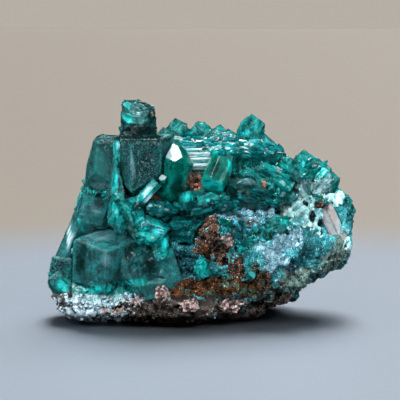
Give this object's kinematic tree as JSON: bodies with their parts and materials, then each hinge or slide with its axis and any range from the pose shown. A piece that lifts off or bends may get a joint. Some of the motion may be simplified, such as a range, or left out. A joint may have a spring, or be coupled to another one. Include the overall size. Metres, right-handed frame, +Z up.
{
  "type": "dioptase specimen",
  "caption": "Small mineral specimen: deep green prismatic and rhombohedral crystals standing on a craggy lump of oxidised ore with a flat-cut underside.",
  "frame": {"origin": "middle of the flat patch under the ore, on the level it rests on", "axes": "+Z up from the surface it rests on, +X along its length to the right of the view that shows the tall crystals at the left, +Y away from that view"},
  "size_m": [0.0429, 0.0238, 0.0308],
  "materials": {
    "green_crystal": "vitreous, translucent deep green, faces partly frosted",
    "emerald_crystal": "vitreous, transparent emerald green",
    "turquoise_crystal": "fractured, splintery, milky turquoise",
    "quartz": "clouded, pinkish white",
    "ore": "rough, earthy, crusted with turquoise, pale blue, white and rust coloured minerals"
  },
  "bodies": {
    "root": {"back_left_crystals": "green_crystal", "back_middle_crystals": "green_crystal", "back_right_crystals": "green_crystal", "clear_crystal": "green_crystal", "clear_mass": "green_crystal", "dark_wedge_crystal": "green_crystal", "dusty_crystal": "green_crystal", "great_crystals": "green_crystal", "left_edge_crystals": "green_crystal", "left_tip_crystals": "green_crystal", "mirror_prism": "green_crystal", "peak_crystals": "green_crystal", "rhombic_crystals": "green_crystal", "ridge_crystals": "green_crystal", "ridge_end_crystal": "green_crystal", "right_crystals": "green_crystal", "right_small_crystal": "green_crystal", "slanting_prisms": "green_crystal", "striated_prisms": "green_crystal", "upper_prism": "green_crystal", "wedge_crystals": "green_crystal", "centre_prism": "emerald_crystal", "hexagonal_prism": "emerald_crystal", "small_tip_crystal": "emerald_crystal", "broken_crystals": "turquoise_crystal", "front_crystal": "turquoise_crystal", "small_rhombic_crystal": "turquoise_crystal", "pale_pocket_crystal": "quartz", "ore_matrix": "ore"}
  },
  "joints": []
}
